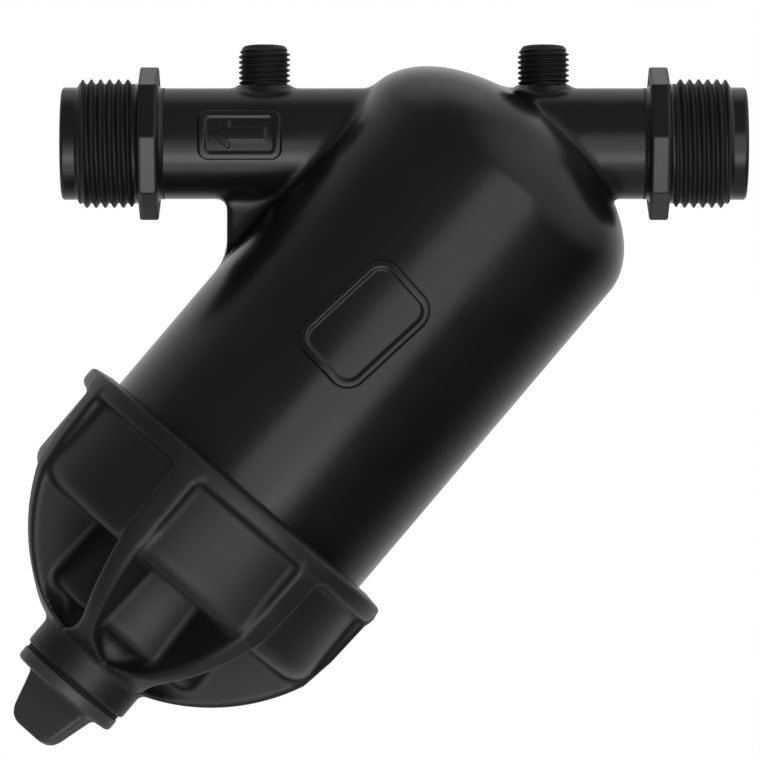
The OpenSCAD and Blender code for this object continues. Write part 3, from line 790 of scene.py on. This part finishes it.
class BowlOperator(bpy.types.Operator):
    """Builds the ribbed bowl with its stepped cup, sump and drain neck"""

    bl_idname = "filter.bowl"
    bl_label = "Ribbed bowl"

    def field(self):
        """The bowl's distance field in the axis frame."""
        s, b = settings()[:2]
        rim = mm(s.rim_at)
        cup_r, cup_h, sump_r, sump_h, neck_r = 44.8, 28.5, 24.4, 47.6, 15.4
        cup = Turned(
            [(0.0, -1.3), (40.4, -1.3), (46.5, -0.25), (47.3, 0.0), (47.7, 0.6), (47.7, 3.2), (47.4, 4.2)]
            + [(46.4, 4.9), (45.4, 5.2), (44.9, 5.8), (cup_r, 6.6)] + arc(cup_r - 5, cup_h - 5, 5, 0, 90, 12)
            + [(sump_r, cup_h)] + arc(sump_r - 3, sump_h - 3, 3, 0, 90, 10)
            + arc(neck_r + 4, sump_h + 4, 4, 270, 180, 8)
            + [(neck_r, NECK - 0.6), (neck_r - 0.5, NECK), (0.0, NECK)]
        )
        seat_r, land_r, well_r, hole_r = 40.35, 35.55, 21.8, 13.57
        seat_end, land_end, floor = 22.32, 25.9, 45.0 + SEAT
        hollow = Turned(
            [(0.0, -8.0), (41.7, -8.0), (41.7, -1.3), (41.0, -0.7), (seat_r, 0.3), (seat_r, seat_end)]
            + [(land_r, seat_end), (land_r, land_end), (well_r, land_end), (well_r, floor), (hole_r, floor)]
            + [(hole_r, 70.0), (0.0, 70.0)]
        )
        # the ribs' outer edge: straight below the rim, a soft knee, then one arc to the neck
        knee, end, sweep = np.array([46.3, 24.9]), np.array([14.4, 56.0]), 53.0
        d = end - knee
        side = np.array([-d[1], d[0]]) / np.linalg.norm(d)
        c = (knee + end) / 2 + side * math.sqrt(sweep**2 - (d @ d) / 4)
        t0, t1 = (math.degrees(math.atan2(*(q - c)[::-1])) for q in (knee, end))
        knee_turn = 2.5
        bow = arc(c[0], c[1], sweep, t0 + knee_turn, t1, 40)
        envelope = Turned([(0.0, 2.6), (47.5, 2.6), (46.8, 18.0)] + bow + [(0.0, end[1])])
        first_rib, half_gap = math.radians(25.7), math.pi / 7
        wide, thin, soft = mm(b.rib_w) / 2, mm(b.rib_end_w) / 2, mm(b.rib_round)
        pitch = mm(s.mouth_pitch)

        def field(p):
            w, u, y = axis_frame(p)
            a, r = w - rim, np.hypot(u, y)
            turn = np.arctan2(y, u)
            fold = (turn - first_rib + half_gap) % (2 * half_gap) - half_gap
            across = np.abs(r * np.sin(fold))
            half = wide + (thin - wide) * np.clip((a - 15) / 42, 0, 1)
            # the ribs spread below the rim, and run together where they meet the neck
            half = half + 0.5 * np.clip((8 - a) / 4, 0, 1) ** 2
            half = half + 5.5 * np.clip((a - 45) / 9.5, 0, 1) ** 4
            rib = smax(envelope(r, a), across - half, soft)
            f = smin(cup(r, a), rib, 1.5)
            groove = 1.1 * thread_wave(w + 2.1, np.arctan2(np.cross(DOWN, SIDE)[1] * y, u), pitch)
            groove = groove * np.clip((a - 2.5) / 1.5, 0, 1) * np.clip((18.0 - a) / 1.5, 0, 1)
            return smax(f, -(hollow(r - groove, a)), 0.7)

        return field

    def execute(self, context):
        s, b = settings()[:2]
        ends = CROSS + np.outer((mm(s.rim_at) - 2, mm(s.rim_at) + 64), DOWN)
        low, high = ends.min(0), ends.max(0)
        wide = 48.5 * np.array([abs(DOWN[2]), 1.0, abs(DOWN[0])]) + 1.5
        points, quads = net_surface(self.field(), low - wide, high + wide, mm(b.cell))
        mesh_object("ribbed_bowl", points, quads, "bowl", bowl_plastic(), ["screw_bowl"])
        return {"FINISHED"}


class PlugOperator(bpy.types.Operator):
    """Builds the winged drain plug and its threaded shank"""

    bl_idname = "filter.plug"
    bl_label = "Drain plug"

    def execute(self, context):
        s, b = settings()[:2]
        at = mm(s.rim_at) + NECK + PLUG_RING
        flange_h, wing_h, cell = 3.6, 16.6, 0.5
        turn = b.wing_turn
        flange = Turned([(0.0, SEAT), (14.9, SEAT)] + arc(13.7, 2.4, 1.2, 0, 90, 8) + [(0.0, flange_h)])

        def field(p):
            w, u, y = axis_frame(p)
            a, r = w - at, np.hypot(u, y)
            v = -y
            # positions along and across the wing
            along = u * math.cos(turn) - v * math.sin(turn)
            across = u * math.sin(turn) + v * math.cos(turn)
            rise = np.clip(a - flange_h, 0, 14)
            flat = smax((np.abs(along) - 10.5 + 0.287 * rise) * 0.96, a - wing_h, 3.6)
            wing = smax(smax(flat, np.abs(across) - 3.0 + 0.05 * rise, 1.3), 1.0 - a, 0.3)
            return smin(flange(r, a), wing, 1.6)

        ends = CROSS + np.outer((at, at + 17), DOWN)
        wide = 15.2 * np.array([abs(DOWN[2]), 1.0, abs(DOWN[0])]) + 1.0
        points, quads = net_surface(field, ends.min(0) - wide, ends.max(0) + wide, cell)
        mesh_object("plug_head", points, quads, "plug", plug_plastic(), ["drain_plug"])
        pitch, crest, thread_h, hollow = mm(b.plug_pitch), 13.22, 1.162, 9.5
        root = crest - thread_h
        rows = [(0.4, hollow, 0), (0.4, root, 0), (-1.0, root, 0)]
        rows += thread_rows(-1.2, -12.0, root, crest, pitch)
        rows += [(-12.4, root - 0.2, 0), (-13.0, root - 0.9, 0), (-13.0, hollow + 0.5, 0), (-12.6, hollow, 0)]
        points, quads = threaded(rows, 128, pitch)
        points = on_axis(points + np.array([0, 0, at]))
        quads = quads[:, ::-1]
        mesh_object("plug_shank", points, quads, "plug", plug_plastic(), ["drain_plug"])
        return {"FINISHED"}


class DiscOperator(bpy.types.Operator):
    """Builds the grooved filter discs, all from one mesh"""

    bl_idname = "filter.discs"
    bl_label = "Grooved discs"

    def execute(self, context):
        looks = settings()[2]
        material = plastic("disc_red", looks.disc, 0.42, wear=0.0)
        t, inner, outer, bevel, gap = 1.9, 20.2, 28.0, 0.34, 0.01
        grooves, groove_h, skew = 180, 0.16, 0.02
        flats = (inner, outer - 3, outer - bevel - 0.12)
        rows = [(gap, r, 0) for r in flats] + [(bevel, outer, 1), (t - bevel, outer, 1)]
        rows += [(t - gap, r, 0) for r in reversed(flats)]

        def radius(d, r, e, a):
            return r - e * groove_h * (0.5 + 0.5 * np.sign(np.sin((a + d * skew) * grooves)))

        points, quads = ring_mesh(rows, 2 * grooves, radius)
        points = turned_about(points, SIDE, np.cross(DOWN, SIDE), DOWN, (0, 0, 0)) * MM
        mesh = bpy.data.meshes.new("grooved_disc")
        mesh.from_pydata(points.tolist(), [], quads[:, ::-1].tolist())
        mesh.materials.append(material)
        first = (np.array(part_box(DISC_NODES[0])).mean(0) * 1000 - CROSS) @ DOWN - t / 2
        for i, node in enumerate(DISC_NODES):
            place = Vector(((CROSS + DOWN * (first + i * t)) * MM).tolist())
            piece("grooved_" + node, mesh, "element", [node], place)
        return {"FINISHED"}


class FrameOperator(bpy.types.Operator):
    """Gives the element's frame and the rings their materials"""

    bl_idname = "filter.element_frame"
    bl_label = "Element frame and rings"

    def execute(self, context):
        looks = settings()[2]
        inner = plastic("element_black", looks.inner, 0.4, wear=0.6)
        for name in ("disc_spine", "pressure_plate", "tightening_nut"):
            self.dress(frame["nodes"][name], inner, "frame_plastic")
        for name in ("bowl_o_ring", "drain_plug_o_ring", "element_o_ring"):
            self.dress(frame["nodes"][name], rubber(), "rubber")
        return {"FINISHED"}

    def dress(self, obj, material, slot):
        """Swaps a CAD node's material."""
        obj.data.materials.clear()
        obj.data.materials.append(material)


class StageOperator(bpy.types.Operator):
    """Sets the floor, the light and the camera"""

    bl_idname = "filter.stage"
    bl_label = "Stage"

    def execute(self, context):
        looks = settings()[2]
        self.floor(looks.floor)
        self.world()
        power, middle = looks.softbox, (0.08, 0.0, 0.0)
        upper = (0.192, 0.0, 0.073)
        self.light("front_softbox", (0.136, -0.50, -0.217), upper, (0.45, 1.02), power, roll=-40)
        self.light("low_softbox", (0.08, -0.46, -0.315), middle, (0.36, 0.16), power * 0.215)
        self.light("top_softbox", (0.0, 0.25, 0.80), middle, (0.9, 0.4), power * 0.17)
        self.camera()
        bpy.context.scene.view_settings.view_transform = "Standard"
        return {"FINISHED"}

    def floor(self, tint):
        """A pale floor below the hanging filter."""
        drop, half = 1.4, 0.9
        z = CAD_BOX[0].z - drop
        corners = [(-half, -half, z), (half, -half, z), (half, half, z), (-half, half, z)]
        mesh = bpy.data.meshes.new("floor")
        mesh.from_pydata(corners, [], [(0, 1, 2, 3)])
        m = bpy.data.materials.new("floor")
        m.use_nodes = True
        tree = m.node_tree
        shader = tree.nodes["Principled BSDF"]
        link(tree, ranged(tree, noise(tree, 3.0), 0.0, 1.0, 0.86, 0.94), shader.inputs["Roughness"])
        shader.inputs["Base Color"].default_value = tuple(tint)
        mesh.materials.append(m)
        obj = bpy.data.objects.new("floor", mesh)
        bpy.context.scene.collection.objects.link(obj)

    def world(self):
        """White to the camera and behind the filter, and in front a dim grey studio with a soft glow."""
        world = bpy.data.worlds.new("studio")
        bpy.context.scene.world = world
        world.use_nodes = True
        tree = world.node_tree
        back = tree.nodes["Background"]
        path = tree.nodes.new("ShaderNodeLightPath").outputs
        way = tree.nodes.new("ShaderNodeTexCoord").outputs["Generated"]
        split = tree.nodes.new("ShaderNodeSeparateXYZ")
        link(tree, way, split.inputs["Vector"])
        # the grey falls off to the lower right, and a broad glow stands high on the right
        right = self.along(tree, way, -SIDE)
        dim = ranged(tree, right, 0.0, 0.7, 0.21, 0.02)
        glow = ranged(tree, self.along(tree, way, (0.85, -0.35, 0.40)), 0.55, 0.9, 0.0, 0.85)
        front = worked(tree, "ADD", dim, glow)
        # mirrored rays see the white behind in full, and diffuse light sees it softened
        behind = ranged(tree, worked(tree, "MULTIPLY_ADD", right, -0.2, split.outputs["Y"]), 0.0, 1.2)
        mirror = ranged(tree, path["Is Glossy Ray"], 0.0, 1.0, 0.8, 1.0)
        seen = worked(tree, "MAXIMUM", path["Is Camera Ray"], path["Is Transmission Ray"])
        white = worked(tree, "MAXIMUM", seen, worked(tree, "MULTIPLY", behind, mirror))
        link(tree, mixed(tree, white, front, (1, 1, 1, 1)), back.inputs["Color"])
        back.inputs["Strength"].default_value = 1.0

    def along(self, tree, way, aim):
        """How far the world's direction points along aim."""
        node = tree.nodes.new("ShaderNodeVectorMath")
        node.operation = "DOT_PRODUCT"
        node.inputs[1].default_value = [float(v) for v in aim]
        link(tree, way, node.inputs[0])
        return node.outputs["Value"]

    def light(self, name, place, target, size, power, roll=0):
        """One soft rectangular lamp aimed at a point and rolled about its aim, in degrees."""
        data = bpy.data.lights.new(name, "AREA")
        data.shape = "RECTANGLE"
        data.size, data.size_y = size
        data.energy = power
        data.color = (0.92, 0.96, 1.0)
        obj = bpy.data.objects.new(name, data)
        obj.location = place
        aim = (Vector(target) - Vector(place)).to_track_quat("-Z", "Y")
        obj.rotation_euler = (aim @ Quaternion((0.0, 0.0, 1.0), math.radians(roll))).to_euler()
        bpy.context.scene.collection.objects.link(obj)

    def camera(self):
        """A long lens in front of the label, a little below it."""
        data = bpy.data.cameras.new("camera")
        data.lens, data.sensor_width = 270.4, 36.0
        data.clip_start, data.clip_end = 0.05, 30
        obj = bpy.data.objects.new("camera", data)
        target = Vector((MID_X * MM - 0.0061, 0.0, -0.0602))
        tilt, distance = math.radians(-2.5), 1.45
        back = Vector((0.0, -math.cos(tilt), math.sin(tilt)))
        obj.location = target + back * distance
        obj.rotation_euler = (-back).to_track_quat("-Z", "Y").to_euler()
        bpy.context.scene.collection.objects.link(obj)
        bpy.context.scene.camera = obj


class FilterPanel(bpy.types.Panel):
    """The filter's settings and building steps"""

    bl_idname = "VIEW3D_PT_disc_filter"
    bl_label = "Disc filter"
    bl_space_type = "VIEW_3D"
    bl_region_type = "UI"
    bl_category = "Filter"

    def draw(self, context):
        for group in settings():
            for name in group.__annotations__:
                self.layout.prop(group, name)
        for step in STEPS:
            self.layout.operator(step.bl_idname)


STEPS = (
    BodyOperator, SpigotOperator, PointOperator, PlateOperator, MouthThreadOperator,
    BowlOperator, PlugOperator, DiscOperator, FrameOperator, StageOperator,
)
GROUPS = {"filter_body": FilterBody, "filter_bowl": FilterBowl, "filter_looks": FilterLooks}


def register():
    """Adds the settings, steps and panel."""
    for name, group in GROUPS.items():
        bpy.utils.register_class(group)
        setattr(bpy.types.Scene, name, bpy.props.PointerProperty(type=group))
    for step in STEPS:
        bpy.utils.register_class(step)
    bpy.utils.register_class(FilterPanel)


def unregister():
    """Takes the settings, steps and panel away."""
    bpy.utils.unregister_class(FilterPanel)
    for step in reversed(STEPS):
        bpy.utils.unregister_class(step)
    for name, group in GROUPS.items():
        delattr(bpy.types.Scene, name)
        bpy.utils.unregister_class(group)


def main():
    """Registers the add-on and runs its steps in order."""
    register()
    bpy.ops.filter.body()
    bpy.ops.filter.spigots()
    bpy.ops.filter.points()
    bpy.ops.filter.plates()
    bpy.ops.filter.mouth_thread()
    bpy.ops.filter.bowl()
    bpy.ops.filter.plug()
    bpy.ops.filter.discs()
    bpy.ops.filter.element_frame()
    bpy.ops.filter.stage()


if __name__ == "__main__":
    main()
